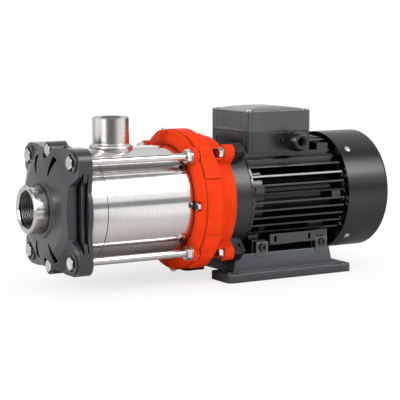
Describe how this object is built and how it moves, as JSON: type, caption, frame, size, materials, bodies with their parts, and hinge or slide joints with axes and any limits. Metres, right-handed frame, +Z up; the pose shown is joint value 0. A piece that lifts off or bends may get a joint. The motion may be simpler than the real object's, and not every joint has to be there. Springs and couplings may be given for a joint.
{
  "type": "horizontal multistage pump",
  "caption": "Close-coupled horizontal multistage pump: stainless barrel held by tie rods between a cast suction plate and a bracket, with a finned, fan-cooled motor on a foot.",
  "frame": {"origin": "middle of the outer foot holes, on the floor", "axes": "+Z up, +X along the shaft from the suction port to the fan, -Y the side of the cable gland"},
  "size_m": [0.515, 0.1918, 0.2281],
  "materials": {
    "cast_charcoal": "satin coating on cast iron, fine grain",
    "stainless_turned": "turned stainless",
    "stainless_brushed": "brushed round the barrel",
    "stainless_rod": "drawn bright bar",
    "zinc_steel": "bright zinc plating",
    "orange_coat": "satin powder coat on a casting",
    "black_rubber": "matte",
    "stainless_inner": "pressed stainless",
    "pale_plastic": "moulded",
    "seal_ceramic": "lapped ceramic",
    "seal_carbon": "carbon graphite",
    "bearing_steel": "ground",
    "core_iron": "stacked sheets",
    "winding_copper": "varnished copper wire",
    "shield_grey": "dark grey coat on cast aluminium",
    "housing_black": "satin black coat on cast aluminium",
    "fan_plastic": "moulded",
    "cover_black": "satin black coat on pressed steel",
    "box_black": "moulded, fine grain",
    "board_plastic": "moulded",
    "stud_brass": "machined",
    "gland_plastic": "moulded",
    "base_black": "satin black coat on cast aluminium",
    "black_steel": "blackened"
  },
  "bodies": {
    "pump_frame": {"suction_plate": "cast_charcoal", "inlet_port": "stainless_turned", "suction_cover": "stainless_brushed", "outer_sleeve": "stainless_brushed", "outlet_port": "stainless_turned", "tie_rods": "stainless_rod", "front_nuts": "zinc_steel", "centre_bolts": "zinc_steel", "lock_nuts": "zinc_steel", "pump_flange": "orange_coat", "motor_bracket": "orange_coat", "flange_screws": "zinc_steel", "vent_plug": "zinc_steel", "drain_plug": "zinc_steel", "bracket_bolts": "zinc_steel", "bracket_washers": "zinc_steel", "cover_seal": "black_rubber", "sleeve_seal": "black_rubber", "seal_plate": "stainless_inner", "discharge_ring": "stainless_inner", "stage_casing_1": "stainless_inner", "stage_casing_2": "stainless_inner", "stage_casing_3": "stainless_inner", "stage_casing_4": "stainless_inner", "neck_rings": "pale_plastic", "seal_seat": "seal_ceramic", "stator_core": "core_iron", "windings": "winding_copper", "bearing_outer_races": "bearing_steel", "front_end_shield": "shield_grey", "motor_housing": "housing_black", "rear_end_shield": "shield_grey", "fan_cover": "cover_black", "fan_cover_screws": "zinc_steel", "terminal_box": "box_black", "lid_gasket": "black_rubber", "terminal_lid": "box_black", "lid_screws": "zinc_steel", "terminal_board": "board_plastic", "terminal_studs": "stud_brass", "gland_body": "gland_plastic", "gland_insert": "black_rubber", "gland_nut": "gland_plastic", "base": "base_black", "base_bolts": "black_steel"},
    "rotating_line": {"shaft": "bearing_steel", "rotor_core": "core_iron", "impeller_1": "stainless_inner", "impeller_2": "stainless_inner", "impeller_3": "stainless_inner", "impeller_4": "stainless_inner", "shaft_spacers": "stainless_inner", "impeller_nut": "stainless_inner", "seal_head": "seal_carbon", "seal_spring": "bearing_steel", "slinger_ring": "black_rubber", "bearing_inner_races": "bearing_steel", "fan": "fan_plastic"},
    "ball_cages": {"bearing_balls": "bearing_steel", "bearing_cages": "pale_plastic"}
  },
  "joints": [
    {"name": "shaft_spin", "type": "hinge", "parent": "pump_frame", "child": "rotating_line", "pos_m": [0, 0, 0.106], "axis": [1, 0, 0], "continuous": true},
    {"name": "cage_spin", "type": "hinge", "parent": "pump_frame", "child": "ball_cages", "pos_m": [0, 0, 0.106], "axis": [1, 0, 0], "continuous": true}
  ],
  "couplings": [
    {"joint": "cage_spin", "follows": "shaft_spin", "ratio": 0.382}
  ]
}
